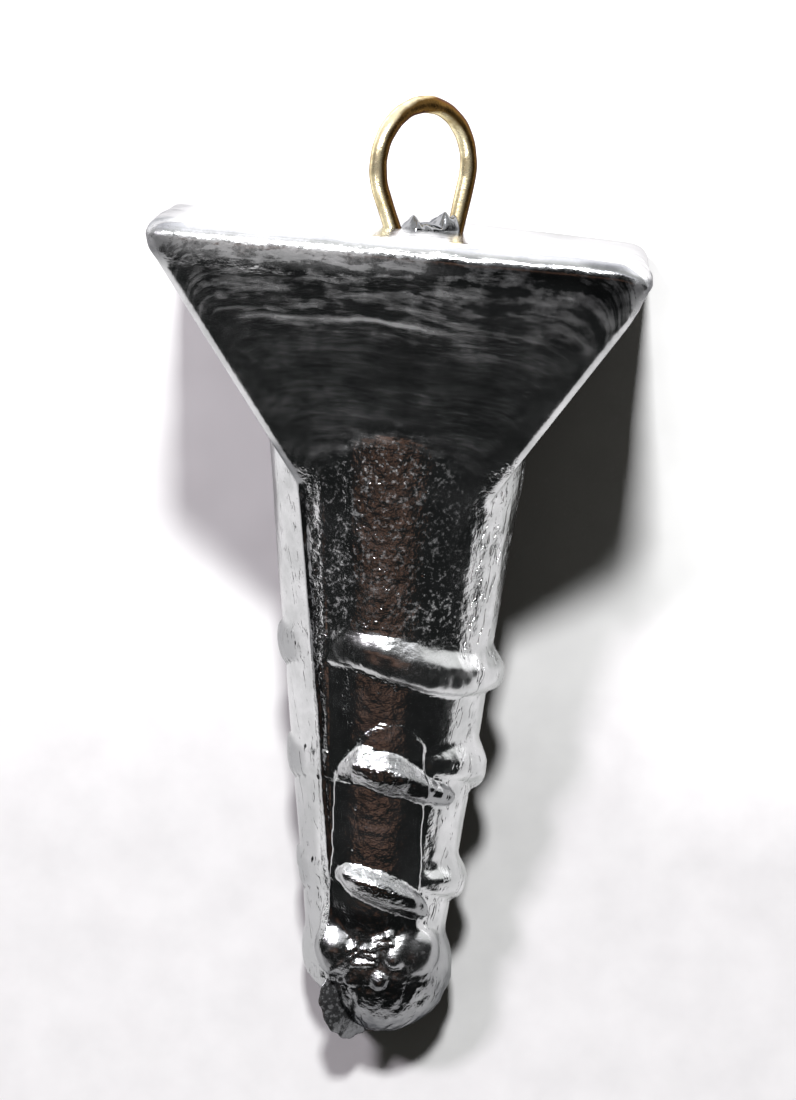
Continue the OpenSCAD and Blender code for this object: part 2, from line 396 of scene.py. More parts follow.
# Knob: the ball at the tip, the heel on its left, two lobes in front, each of two chains of balls,
# and a small drip. A chain is (side, front, level, radius) at its upper and its lower end, and its
# number of balls.
heel_at = (-0.98, 0.62, -knob_drop + 0.82)
heel_r = 3.5
heel_crease = 0.3
knob_crease = 0.25
lobes = (
    ((-2.4, -3.0, -40.2, 0.7), (-2.2, -3.3, -41.95, 1.1), 18),
    ((-2.2, -3.1, -41.9, 1.25), (-2.0, -2.95, -42.45, 1.3), 5),
    ((2.1, -3.2, -40.6, 0.65), (1.25, -3.85, -42.3, 0.7), 22),
    ((2.4, -2.6, -41.8, 1.45), (2.2, -2.55, -42.15, 1.65), 4),
    ((0.42, -3.7, -43.75, 0.5), (0.42, -3.7, -43.75, 0.5), 1),
)
lobe_crease = 0.3
lobe_sink = 0.014 / lobe_crease

# Crumpled skin between the lobes, as overlapping scales: side, level, half width, half height, tilt
scales = (
    (0.5, -41.25, 0.75, 0.5, 0.3), (-0.1, -41.95, 0.55, 0.45, -0.2), (-0.45, -42.6, 0.85, 0.32, 0.1),
    (-1.1, -41.6, 0.3, 0.45, 0.5), (0.95, -40.8, 0.3, 0.25, 0.4), (-0.9, -42.15, 0.3, 0.2, 0.0),
)

# Two raised lines over the knob: directions, levels, height, and where the line starts, ends and fades
knob_lines = (
    ([-52, -43, -36, -23, -10, 2], [-45.2, -44.3, -43.6, -42.8, -41.95, -41.6], 0.16, (-54, 2, 5)),
    ([4, 10, 30, 43, 50, 54], [-43.3, -43.55, -43.75, -43.6, -43.1, -42.0], 0.08, (4, 54, 6)),
)
line_half = 0.11


def knob_shape(shaped, turn, degrees, drop, x, y):
    """Radius with the knob on it: the soft maximum with each ball's far side, then scales that rise
    toward the tip, noise, and lines with the section of a bell curve."""
    level = -drop
    faces_front = np.cos(turn) > 0
    knob = ball_reach(turn, level, (ball_shift, 0.0, -knob_drop), ball_r)
    knob = soft_max(knob, ball_reach(turn, level, heel_at, heel_r), heel_crease)
    joined = soft_max(shaped * (drop < knob_drop + 0.8), knob, knob_crease)
    shaped = np.where(drop > knob_drop - 5.5, joined, shaped)
    for upper, lower, count in lobes:
        swell = shaped - 1.6
        for share in np.linspace(0, 1, count):
            cx, cy, cz, size = [u + (v - u) * share for u, v in zip(upper, lower)]
            swell = np.maximum(swell, ball_reach(turn, level, (cx, cy, cz), size))
        shaped = soft_max(shaped, swell, lobe_crease, lobe_sink)
    side_x = shaped * np.sin(turn)
    for cx, cz, wide, tall, tilt in scales:
        u, v = (side_x - cx) / wide, (level - cz - tilt * (side_x - cx)) / tall
        scale = (1 - step(0.75, 1.05, np.maximum(np.abs(u), np.abs(v)))) * faces_front
        shaped = shaped + scale * 0.5 * tall * (1 - v)
    crumple = arc_window(degrees, -22, 24, 7) * window(drop, 40.3, 40.9, 42.9, 43.4)
    wrinkles = 0.05 * lattice_noise(x, y, level, 0.6, 51) + 0.03 * lattice_noise(x, y, level, 0.3, 52)
    shaped = shaped + crumple * wrinkles
    bottom = step(knob_drop - 0.5, knob_drop + 0.8, drop)
    shaped = shaped + bottom * 0.13 * lattice_noise(x * 1.6, y, level, 1.0, 53)
    shaped = shaped + bottom * 0.06 * lattice_noise(x * 1.6, y, level, 0.45, 54)
    for turns, levels, rise, shown in knob_lines:
        away = (level - np.interp(degrees, turns, levels)) / line_half
        shaped = shaped + rise * arc_window(degrees, *shown) * faces_front * np.exp(-(away**2))
    return shaped


# On the front the top edge lies higher toward the right, and droops again at the corner
lift_rise = 0.62
lift_sides = [-11, 10, 12.5, 14.2]
lift_shares = [0, 1, 1, 0.35]
shaft_start = 2.5
head_crease = 0.18


def casting_surface():
    """Point at row and turn: on the flat top and its rounded edge a rounded square grows outward;
    below, the radius is the soft maximum of the pyramid's section, the cone, the ribs, the panel
    and the knob's balls, at a level that slants as the rings do; noise roughens it a little."""
    turn, drop, half_x, half_y, corner, cap = casting_grid()
    degrees = (np.degrees(turn) + 180.0) % 360.0 - 180.0
    across, back = np.sin(turn), -np.cos(turn)
    slant = np.interp(drop, level_drops, level_slants)
    lean = np.interp(drop, level_drops, level_leans)
    section = square_reach(half_x, half_y, corner, turn)

    # The cone's radius is corrected for the slant of its level
    radius = cone_radius(-drop) / (1 + taper * (slant * across - lean * back))
    x, y = radius * across, radius * back
    z = -drop - slant * x + lean * y
    seam = np.interp(-z, seam_drops, seam_turns)
    shaped = shaft_shape(radius, seam, x, y, z, degrees, drop)
    panel = panel_height(x, z) * (np.cos(turn) > 0.2)
    shaped, ringed = back_rings(shaped + panel, radius, turn, x, y, z)
    shaped, on_rib, banded = rib_shapes(shaped, radius, panel, degrees, x, y, z)
    shaped = knob_shape(shaped, turn, degrees, drop, x, y)

    reach = np.where(~cap & (drop > shaft_start), soft_max(section, shaped, head_crease), section)
    x, y = reach * across, reach * back
    z = np.where(drop < level_end, -drop - slant * x + lean * y, -drop)
    lift = lift_rise * np.interp(x, lift_sides, lift_shares) * step(-6, 13, -y)
    z = z + lift * (1 - step(0.6, 3.4, drop))

    # Where the metal chilled before it filled the mould: beside the seam, and up the right side
    left_pits = arc_window(degrees, -46, -31, 5) * window(drop, 13, 15, 41, 42.5)
    right_pits = arc_window(degrees, 34, 82, 14) * window(drop, 11.5, 14, 22, 25)
    stripe = arc_window(degrees, 31, 43, 4) * window(drop, 32.5, 33.5, 37, 37.6)
    pitted = np.clip(left_pits + right_pits + stripe, 0, 1)
    rough = 0.06 * lattice_noise(x, y, z * 0.45, 0.9, 31) + 0.02 * lattice_noise(x, y, z * 0.5, 0.42, 32)
    rough = rough + 0.02 * left_pits * lattice_noise(x, y, z * 0.8, 0.5, 34)
    lumps = 0.05 + 0.12 * step(10.5, 13, np.abs(x)) * (y < 0)
    lumps = lumps * lattice_noise(x, y, z, 1.3, 33) * (1 - step(1.8, 2.6, drop))
    uneven = rough * pitted + lumps
    points = np.stack([x + across * uneven, y + back * uneven, z], axis=-1)

    # Flow lines follow the drop, and turn down beside the flank's edges
    margin = np.maximum(np.minimum(half_x, half_y) - np.minimum(np.abs(x), np.abs(y)), 0.0)
    return SimpleNamespace(
        points=points, x=x, drop=drop, degrees=degrees, seam=seam, panel=panel,
        course=drop - 3.0 * np.exp(-margin / 1.25), front=step(-1.0, 2.0, -y),
        flank=step(0.6, 1.2, drop) * (1 - step(0.0, 0.5, shaped - section)),
        pitted=pitted, left_pits=left_pits, on_rib=on_rib, banded=banded, ringed=ringed,
    )


# Oxide over the front flank, by drop, and in spots: (side, drop, reach across, reach along, amount)
face_drops = [0.9, 1.4, 2.2, 5.0, 5.8, 7.5, 11]
face_haze = [0.3, 0.85, 0.75, 0.6, 0.1, 0.04, 0.01]
haze_spots = (
    (4.8, 4.6, 3.0, 1.6, 0.6), (12.0, 2.8, 2.0, 1.3, 0.6), (-13.2, 1.5, 1.6, 1.5, 0.9),
    (-0.5, 13.2, 3.4, 2.2, 0.9), (-1.0, 16.5, 5.2, 4.0, 0.6), (3.2, 21.0, 2.4, 2.6, 0.9),
    (-3.2, 19.5, 2.2, 4.0, 0.7), (0.3, 42.6, 3.2, 2.2, 0.4),
)


def edge_band(cast):
    """The band under the head's front edge, as a smooth window of the drop."""
    return window(cast.drop, 0.45, 0.75, 1.0, 2.5) * cast.front


def haze_mark(cast):
    """Grey haze of oxide, as the greatest of its places: the front flank and the band over it, the
    right corner, and spots on the flank, round the neck and on the knob that fade as bell curves."""
    x, drop = cast.x, cast.drop
    face = np.interp(drop, face_drops, face_haze)
    face = face * (1 - step(1.0, 9.0, x) * (0.4 + 0.35 * step(4.0, 5.5, drop)))
    haze = face * cast.flank * (cast.flank > 0.02) + edge_band(cast) * (2.3 - 2.0 * step(-7.0, 7.0, x))
    haze = np.maximum(haze, 2.0 * step(12.4, 13.6, x) * window(drop, 0.3, 0.8, 2.6, 4.2) * cast.front)
    for cx, cz, rx, rz, amount in haze_spots:
        spot = np.exp(-(((x - cx) / rx) ** 2) - ((drop - cz) / rz) ** 2)
        haze = np.maximum(haze, spot * amount * cast.front)
    return haze


def tarnish_mark(cast):
    """Dark tarnish, as the greatest of its places: the knob, the head's left corner, the band, a gap
    beside the right corner, the rings and the shaft at the left, the seam's wall, and the panel's
    rim and bands."""
    x, drop, degrees, seam = cast.x, cast.drop, cast.degrees, cast.seam
    knob = 0.65 * step(40.5, 41.5, drop) + 0.35 * step(42.8, 44.0, drop)
    gap = window(x, 9.5, 11.0, 12.4, 13.2) * window(drop, 0.1, 0.4, 2.0, 3.0) * cast.front
    wall = window(degrees, seam - 2.0, seam - 0.5, seam + 2.5, seam + 4.0) * step(12.0, 13.0, drop)
    rim = window(cast.panel, 0.02, 0.08, 0.2, 0.34) * (drop > 30)
    return np.maximum.reduce([
        knob * (1 - 0.6 * (degrees < -44)),
        step(11.5, 13.2, -x) * (1 - step(2.0, 3.0, drop)) * cast.front,
        edge_band(cast) * (0.1 + 1.1 * step(-6.0, 6.0, x)),
        1.1 * gap,
        0.5 * cast.ringed * step(50.0, 60.0, -degrees),
        0.35 * step(29.0, 36.0, drop) * step(45.0, 52.0, -degrees),
        wall,
        0.9 * rim,
        cast.banded * (0.3 + 0.55 * step(-12.0, 10.0, degrees)),
    ])


grain_turns = [0, 14, 23, 40, 60]
grain_depths = [1.3, 1.15, 0.5, 0.2, 0.14]


def grain_mark(cast):
    """Grain from the mould: full on the front of the shaft and more on its lower ribs, less on the
    panel and the knob, and low on the shaft's sides, its first rib and the flanks. The band, the pits
    beside the seam, the knob's bottom and the rings at the left have at least their own share."""
    x, drop, flank = cast.x, cast.drop, cast.flank
    grain = np.interp(np.abs(cast.degrees + 1), grain_turns, grain_depths)
    grain = grain * (1 + cast.on_rib * np.where(drop < 28, -0.75, 0.4))
    grain = grain * (1 - 0.2 * step(0.02, 0.1, cast.panel)) * (1 - 0.35 * step(40.5, 41.5, drop))
    grain = np.where(flank > 0.02, grain * (1 - flank) + 0.08 * flank, grain)
    return np.maximum.reduce([
        grain * (0.2 + 0.8 * step(2, 4, drop)),
        0.6 * window(drop, 0.4, 0.8, 1.8, 3.0) * (1 - 0.6 * step(-4, 6, x)) * cast.front,
        0.9 * cast.left_pits,
        0.7 * step(42.6, 43.6, drop),
        0.6 * cast.ringed * step(50.0, 60.0, -cast.degrees),
    ])


def cracked_mark(cast):
    """Where the shaft's sides are cracked: fully at the right near the head, faintly at the left."""
    under_head = step(11.5, 13, cast.drop)
    right = arc_window(cast.degrees, 40, 110, 12) * under_head * (1 - 0.7 * step(22, 26, cast.drop))
    return np.maximum(right, 0.18 * arc_window(cast.degrees, -110, -42, 8) * under_head)


def soft_mark(cast):
    """Where the skin is duller: on the first rib and the knob, and a little on the other front ribs."""
    ribs = cast.on_rib * np.where(cast.drop < 28, 1.0, 0.3)
    return np.maximum(ribs, window(cast.drop, 40.3, 41.2, 43.6, 44.2))


cast = casting_surface()
casting = skin("casting", cast.points, {
    "pitted": cast.pitted,
    "flank": cast.flank * np.interp(cast.drop, [5.0, 8.0], [1.0, 0.7]),
    "course": cast.course,
    "haze": haze_mark(cast),
    "grain": grain_mark(cast),
    "tarnish": tarnish_mark(cast),
    "soft": soft_mark(cast),
    "cracked": cracked_mark(cast),
})


def new_material(name):
    """An empty node material, and its node tree."""
    material = bpy.data.materials.new(name)
    material.use_nodes = True
    material.node_tree.nodes.clear()
    return material, material.node_tree


def add(tree, kind, inputs=None, **settings):
    """A node of the given kind, with its settings and its sockets' values or links."""
    made = tree.nodes.new(kind)
    for key, value in settings.items():
        setattr(made, key, value)
    for key, value in (inputs or {}).items():
        if isinstance(value, bpy.types.NodeSocket):
            tree.links.new(value, made.inputs[key])
        else:
            made.inputs[key].default_value = value
    return made


def mark(tree, name):
    """The values that the piece's points carry under this name."""
    return add(tree, "ShaderNodeAttribute", attribute_name=name).outputs["Fac"]


def maths(tree, operation, *values, clamp=False):
    """One operation on values or sockets, held between 0 and 1 if clamp is set."""
    inputs = dict(enumerate(values))
    return add(tree, "ShaderNodeMath", inputs, operation=operation, use_clamp=clamp).outputs[0]


def noise(tree, place, scale, detail, roughness=0.5):
    """Noise with values round one half, and so many cells to a unit of its place."""
    inputs = {"Vector": place, "Scale": scale, "Detail": detail, "Roughness": roughness}
    return add(tree, "ShaderNodeTexNoise", inputs).outputs["Fac"]


def ramp(tree, value, low, high, start=0.0, end=1.0, smooth=False):
    """From start to end as the value goes from low to high, and held at both: straight, or smooth."""
    inputs = {"Value": value, "From Min": low, "From Max": high, "To Min": start, "To Max": end}
    kind = "SMOOTHSTEP" if smooth else "LINEAR"
    return add(tree, "ShaderNodeMapRange", inputs, interpolation_type=kind).outputs[0]


def blend(tree, factor, first, second):
    """Colour from the first to the second as the factor goes from 0 to 1."""
    inputs = {"Factor": factor, "A": first, "B": second}
    return add(tree, "ShaderNodeMix", inputs, data_type="RGBA").outputs["Result"]


def bump(tree, height, depth, below=None, strength=1.0, **settings):
    """Normal of a height that raises the surface by up to depth metres, over the normal below it."""
    inputs = {"Height": height, "Distance": depth, "Strength": strength}
    if below is not None:
        inputs["Normal"] = below
    return add(tree, "ShaderNodeBump", inputs, **settings).outputs["Normal"]


grey_lead = (0.57, 0.585, 0.58, 1)
bright_lead = (0.80, 0.81, 0.81, 1)
tarnished_lead = (0.22, 0.225, 0.23, 1)
clear_edge = (1, 1, 1, 1)
tarnished_edge = (0.3, 0.31, 0.32, 1)


def lead_finish():
    """Bright cast lead: a smooth dark mirror, ribbed along the flow lines of the pour, with a grey
    haze of oxide in streaks, fine grain and small beads from the mould, cracks along the sides and
    pits where the piece says so."""
    material, tree = new_material("cast_lead")
    place = add(tree, "ShaderNodeTexCoord").outputs["Object"]
    parts = add(tree, "ShaderNodeSeparateXYZ", {0: place}).outputs
    flank = mark(tree, "flank")
    haze = mark(tree, "haze")
    depth = mark(tree, "grain")

    # Flow lines: long streaks across the flank, that follow the course and waver slowly
    bent = maths(tree, "MULTIPLY_ADD", noise(tree, place, 130.0, 3.0), 1.6, mark(tree, "course"))
    aside = maths(tree, "MULTIPLY", parts["X"], 160.0)
    along = add(tree, "ShaderNodeCombineXYZ", {"X": aside, "Y": bent}).outputs[0]
    lines = noise(tree, along, 1.7, 5.0, 0.6)
    flow = maths(tree, "MULTIPLY", lines, flank)

    # One line stands out, left of the middle
    line = maths(tree, "ABSOLUTE", maths(tree, "SUBTRACT", bent, 5.55))
    line = ramp(tree, line, 0.0, 0.2, 1.0, 0.0)
    left_end = ramp(tree, parts["X"], -0.0095, -0.008)
    right_end = ramp(tree, parts["X"], 0.005, 0.001)
    for share in (left_end, right_end, flank):
        line = maths(tree, "MULTIPLY", line, share)

    # Haze of oxide, in streaks on the flank and in flecks elsewhere, and closed where it is thick
    mottle = noise(tree, place, 1100.0, 4.0, 0.62)
    streaky = ramp(tree, maths(tree, "MULTIPLY_ADD", mottle, 0.45, lines), 0.7, 0.95)
    fleck = maths(tree, "MULTIPLY_ADD", mottle, 0.4, noise(tree, place, 3600.0, 3.0, 0.6))
    flecks = ramp(tree, fleck, 0.75, 0.92)
    veil = add(tree, "ShaderNodeMix", {0: flank, 2: flecks, 3: streaky}).outputs[0]
    veil = maths(tree, "MULTIPLY", veil, haze)
    thick = ramp(tree, haze, 1.0, 2.6, 0.0, 0.6)
    thick = maths(tree, "MULTIPLY", thick, ramp(tree, fleck, 0.5, 0.9, 0.45, 1.4))
    veil = maths(tree, "ADD", veil, thick)
    veil = maths(tree, "MULTIPLY_ADD", maths(tree, "MULTIPLY", line, lines), 1.1, veil, clamp=True)
    metallic = maths(tree, "MULTIPLY_ADD", veil, -0.6, 1.0)

    # Brighter in patches, dark where it is tarnished, and rougher under the haze and on soft skin
    dull = noise(tree, place, 420.0, 6.0, 0.65)
    worn = maths(tree, "MULTIPLY", dull, mark(tree, "tarnish"))
    worn = maths(tree, "MULTIPLY", worn, 1.7, clamp=True)
    tone = blend(tree, ramp(tree, dull, 0.36, 0.64), grey_lead, bright_lead)
    tone = blend(tree, worn, tone, tarnished_lead)
    rough = ramp(tree, dull, 0.4, 0.75, 0.12, 0.22)
    rough = maths(tree, "MULTIPLY_ADD", veil, 0.2, rough)
    rough = maths(tree, "MULTIPLY_ADD", mark(tree, "soft"), 0.08, rough)

    # Grain as deep as the piece says, and deeper in the pits
    deeper = maths(tree, "MULTIPLY_ADD", mark(tree, "pitted"), 0.5, depth)
    grain = maths(tree, "MULTIPLY", noise(tree, place, 1500.0, 4.0, 0.56), deeper)
    normal = bump(tree, grain, 0.00015)

    # Small beads, in two cells of ten, that catch the lamps
    cells = add(tree, "ShaderNodeTexVoronoi", {"Vector": place, "Scale": 1500.0}).outputs
    picked = add(tree, "ShaderNodeSeparateColor", {0: cells["Color"]}).outputs[0]
    picked = maths(tree, "GREATER_THAN", picked, 0.8)
    bead = ramp(tree, cells["Distance"], 0.0, 0.27, 1.0, 0.0, smooth=True)
    for share in (picked, depth):
        bead = maths(tree, "MULTIPLY", bead, share)
    normal = bump(tree, bead, 0.00005, normal)

    # Cracks along the sides: thin lines of a noise stretched along the shaft
    long_y = maths(tree, "MULTIPLY", parts["Y"], 0.16)
    stretched = {"X": parts["X"], "Y": long_y, "Z": parts["Z"]}
    stretched = add(tree, "ShaderNodeCombineXYZ", stretched).outputs[0]
    split = maths(tree, "SUBTRACT", noise(tree, stretched, 620.0, 3.0, 0.6), 0.5)
    split = ramp(tree, maths(tree, "ABSOLUTE", split), 0.0, 0.018, 1.0, 0.0)
    for share in (ramp(tree, mottle, 0.46, 0.58), mark(tree, "cracked")):
        split = maths(tree, "MULTIPLY", split, share)
    normal = bump(tree, split, 0.00012, normal, invert=True)
    normal = bump(tree, flow, 0.00003, normal)

    metal = add(tree, "ShaderNodeBsdfPrincipled", {
        "Base Color": tone, "Metallic": metallic, "Roughness": rough, "Normal": normal,
        "Specular Tint": blend(tree, worn, clear_edge, tarnished_edge),
    })
    add(tree, "ShaderNodeOutputMaterial", {"Surface": metal.outputs["BSDF"]})
    return material


cast_lead = lead_finish()
casting.data.materials.append(cast_lead)
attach(casting, "root")
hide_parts("lead_casting")


# Flash and torn sprue
# Thin lead that squeezed out of the mould's seam at the tip, and the stub left on the top
# between the eye's legs where the pouring gate was snapped off. Both are part of the pour.
seam_along = np.array([np.sqrt(0.5), np.sqrt(0.5), 0.0])
seam_normal = np.array([np.sqrt(0.5), -np.sqrt(0.5), 0.0])
upright = np.array([0.0, 0.0, 1.0])
flash_r = 2.665
flash_at = 2.335
flash_turn = np.radians(40.0)
flash_t = 0.5
flash_core = 0.35
flash_start = np.radians(-112)
flash_stop = np.radians(118)
flash_end = np.radians(122)


def flash_surface():
    """A thin disc on edge in the seam's plane: rows go round its rim, columns round its section,
    which is a flattened oval from near the middle out to a ragged rim that curls to one side."""
    turn = np.linspace(flash_start, flash_stop, 90)[:, None]
    lap = np.linspace(0, 2 * np.pi, 24, endpoint=False)[None, :]
    ragged = 0.05 * np.sin(9 * turn) + 0.04 * np.sin(17 * turn + 1.0)
    fade = np.sqrt(np.clip(1 - (turn / flash_end) ** 4, 0, 1))
    outer = flash_r * (0.55 + 0.45 * fade) + ragged * fade
    inner = flash_core * flash_r
    out = (outer + inner) / 2 + (outer - inner) / 2 * np.cos(lap)
    thick = flash_t / 2 * (1 - 0.55 * np.cos(lap)) * np.sin(lap) * 1.1
    curl = 0.12 * np.maximum(out - 1.6, 0) ** 2 * np.cos(3 * turn)
    down = -(np.sin(flash_turn) * seam_along + np.cos(flash_turn) * upright)
    aside = -np.cos(flash_turn) * seam_along + np.sin(flash_turn) * upright
    middle = flash_at * down - knob_drop * upright
    disc = (out * np.cos(turn))[..., None] * down + (out * np.sin(turn))[..., None] * aside
    return middle + disc + (thick + curl)[..., None] * seam_normal


sprue_l = 3.7
sprue_h = 0.85
sprue_t = 1.5
sprue_start = -0.1


def sprue_surface():
    """A ridge along the seam: rows go along it, columns over it from one side to the other, as a
    half ellipse raised to the torn edge's height, which two bumps and random facets shape."""
    share = np.linspace(0, 1, 90)[:, None]
    over = np.linspace(-np.pi, np.pi, 48, endpoint=False)[None, :]
    edge = 0.45 + 0.45 * np.exp(-((share - 0.1) / 0.07) ** 2) + 0.64 * np.exp(-((share - 0.82) / 0.17) ** 4)
    end = np.sqrt(np.clip(1 - (2 * share - 1) ** 12, 0, 1))
    across = sprue_t / 2 * np.sin(over) * (0.55 + 0.45 * end)
    height = sprue_h * edge * end * np.cos(over)
    height = np.where(np.cos(over) < 0, 0.4 * np.cos(over), height)
    along = sprue_start + sprue_l * share + 0 * over
    torn = lattice_noise(along, across * 1.3, height * 0, 0.5, 41) * np.clip(height, 0, 1) * 0.5
    height = height + torn
    return along[..., None] * seam_along + across[..., None] * seam_normal + height[..., None] * upright


for name, grid, haze in (("flash", flash_surface(), 1.75), ("torn_sprue", sprue_surface(), 0.0)):
    amounts = {"grain": 0.3, "tarnish": 1.5, "haze": haze}
    stub = skin(name, grid, {label: np.full(grid.shape[:2], amount) for label, amount in amounts.items()})
    stub.data.materials.append(cast_lead)
    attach(stub, "root")
    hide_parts("lead_casting")


# Wire eye
# Brass wire of 18 gauge, bent into a round loop with two leaning legs, and held
# in the mould's seam while the lead was poured round its feet.
wire_r = 0.51
eye_r = 3.6
eye_rise = 3.7
eye_shift = 1.0
left_lean = np.radians(26.0)
right_lean = np.radians(14.0)
leg_depth = 3.6
loop_points = 150
leg_points = 30
wire_sides = 28
point_gap = 0.11


def eye_route():
    """Middle line of the wire in the seam's plane: up the left leg, round the loop, down the right leg."""
    turn = np.linspace(np.pi + left_lean, -right_lean, loop_points)
    loop = np.stack([eye_shift + eye_r * np.cos(turn), eye_rise + eye_r * np.sin(turn)], axis=-1)
    share = np.linspace(0, 1, leg_points)[:, None]
    run_left = (loop[0, 1] + leg_depth) / np.cos(left_lean)
    run_right = (loop[-1, 1] + leg_depth) / np.cos(right_lean)
    foot_left = loop[0] + run_left * np.array([np.sin(left_lean), -np.cos(left_lean)])
    foot_right = loop[-1] + run_right * np.array([-np.sin(right_lean), -np.cos(right_lean)])
    left = foot_left + (loop[0] - foot_left) * share
    right = loop[-1] + (foot_right - loop[-1]) * share
    return np.vstack([left[:-1], loop, right[1:]])


def tube(path, side, radius, sides):
    """Rings of points round a path: the radius times the cosine of the angle along the path's normal
    in the plane of the bend, plus the radius times its sine along side."""
    ahead = np.gradient(path, axis=0)
    ahead /= np.linalg.norm(ahead, axis=1, keepdims=True)
    outward = np.cross(ahead, side)
    angle = np.linspace(0, 2 * np.pi, sides, endpoint=False)
    ring = np.cos(angle)[None, :, None] * outward[:, None, :] + np.sin(angle)[None, :, None] * side
    return path[:, None, :] + radius[:, None, None] * ring


def eye_surface():
    """A tube along the eye's middle line, turned into the plane of the seam, with the radius
    swelling and thinning by a few hundredths of itself as bent wire does. The side that
    faces right is marked for painted shade, from a normal's x of 0 up to 0.7: a dark
    reflection of the sinker's shaded side, painted on."""
    flat = eye_route()
    path = flat[:, :1] * seam_along + flat[:, 1:] * upright
    length = np.arange(len(path)) * point_gap
    radius = wire_r * (1 + 0.02 * np.sin(1.7 * length) + 0.015 * np.sin(4.1 * length + 1.0))
    grid = tube(path, seam_normal, radius, wire_sides)
    # Painted shade: the wire's right-facing side is marked to be painted dark, standing in for the dark
    # reflection of the sinker's shaded side
    painted_side_shade = step(0.0, 0.7, (grid - path[:, None, :])[..., 0] / wire_r)
    return grid, {"painted_side_shade": painted_side_shade}


wire = skin("wire_loop", *eye_surface())
clean_brass = (0.86, 0.76, 0.50, 1)
dull_brass = (0.40, 0.31, 0.15, 1)
# Dark brown for the painted shade on the wire's rim and its right side
painted_shade_brass = (0.11, 0.062, 0.018, 1)
brass_edge = (0.25, 0.17, 0.08, 1)


def brass_finish():
    """Drawn brass: golden and bright, with fine grain and dull patches, and painted shade in deep
    brown at its rim, where the surface turns away from the view, and on the side that the piece
    marks for painted shade."""
    material, tree = new_material("drawn_brass")
    place = add(tree, "ShaderNodeTexCoord").outputs["Object"]
    patch = noise(tree, place, 700.0, 5.0, 0.7)
    mask = ramp(tree, patch, 0.45, 0.72)
    # Painted shade: the colour goes dark brown where the surface turns away from the view and on the side
    # marked for painted shade, and the noise adds a little to both
    rim = add(tree, "ShaderNodeLayerWeight", {"Blend": 0.5}).outputs["Facing"]
    rim = ramp(tree, rim, 0.55, 0.95, 0.0, 0.75)
    deep = maths(tree, "MAXIMUM", mark(tree, "painted_side_shade"), rim)
    deep = maths(tree, "MULTIPLY_ADD", patch, 0.5, deep)
    tone = blend(tree, mask, clean_brass, dull_brass)
    metal = add(tree, "ShaderNodeBsdfPrincipled", {
        "Base Color": blend(tree, ramp(tree, deep, 0.35, 1.05), tone, painted_shade_brass),
        "Metallic": 0.8,
        "Roughness": ramp(tree, mask, 0.0, 1.0, 0.24, 0.42),
        "Normal": bump(tree, noise(tree, place, 5200.0, 3.0), 0.00002, strength=0.8),
        "Specular Tint": brass_edge,
    })
    add(tree, "ShaderNodeOutputMaterial", {"Surface": metal.outputs["BSDF"]})
    return material


wire.data.materials.append(brass_finish())
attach(wire, "root")
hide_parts("wire_eye")


# Floor
# A plain sheet of matt white paper that the sinker lies on; painted light and painted reflections are in its
# colour. Its sizes are in metres.
floor_half = 1.5
floor_tone = (0.86, 0.86, 0.86, 1)


def floor_finish():
    """Matt white paper, with painted light in its colour. The camera sees it with painted light,
    whiter toward the wire eye and at the upper right, where it washes out a lamp's shadow, with a
    faint crinkle; the metal mirrors it as a painted reflection, bright near the sinker, brighter on
    the eye's side, and dark far off elsewhere."""
    material, tree = new_material("pale_floor")
    ray = add(tree, "ShaderNodeLightPath").outputs
    place = add(tree, "ShaderNodeTexCoord").outputs["Object"]
    parts = add(tree, "ShaderNodeSeparateXYZ", {0: place}).outputs
    away = add(tree, "ShaderNodeVectorMath", {0: place}, operation="LENGTH").outputs["Value"]
    # Painted reflection: in the metal the paper looks bright near the sinker, dark far off and brighter on
    # the eye's side; after a diffuse bounce it is black, which keeps the shadows dark
    near = ramp(tree, away, 0.10, 0.22, 0.86, 0.03, smooth=True)
    near = maths(tree, "ADD", near, ramp(tree, parts["Y"], 0.022, 0.035, 0.0, 1.6))
    near = maths(tree, "MULTIPLY", near, maths(tree, "LESS_THAN", ray["Diffuse Depth"], 0.5))
    shade = blend(tree, ray["Is Glossy Ray"], floor_tone, near)
    # Painted light: the camera sees the paper brighter toward the eye's side, a painted pool of light, and
    # brighter again at the upper right, where it washes out the left lamp's shadow
    slope = maths(tree, "MULTIPLY_ADD", parts["X"], -0.05, parts["Y"])
    far = ramp(tree, slope, -0.018, 0.011, 0.86, 1.25, smooth=True)
    painted_light_right = ramp(tree, parts["X"], 0.0145, 0.0195, 0.0, 0.32)
    far = maths(tree, "MULTIPLY_ADD", painted_light_right, ramp(tree, parts["Y"], -0.016, -0.002), far)
    crinkle = ramp(tree, noise(tree, place, 330.0, 3.0), 0.3, 0.7, 0.955, 1.03)
    far = maths(tree, "MULTIPLY", far, crinkle)
    matte = add(tree, "ShaderNodeBsdfDiffuse", {"Color": blend(tree, ray["Is Camera Ray"], shade, far)})
    add(tree, "ShaderNodeOutputMaterial", {"Surface": matte.outputs[0]})
    return material


floor_corners = [
    (-floor_half, -floor_half, 0), (floor_half, -floor_half, 0),
    (floor_half, floor_half, 0), (-floor_half, floor_half, 0),
]
floor_mesh = bpy.data.meshes.new("floor")
floor_mesh.from_pydata(floor_corners, [], [(0, 1, 2, 3)])
floor_mesh.materials.append(floor_finish())
floor = bpy.data.objects.new("floor", floor_mesh)
bpy.context.scene.collection.objects.link(floor)


# Lamps and surroundings
# A soft key lamp above the eye's side and a weaker one at the left, both aimed at the sinker, in a
# room that only the metal mirrors. Places are in metres.
lamp_aim = (0, 0, 0.01)


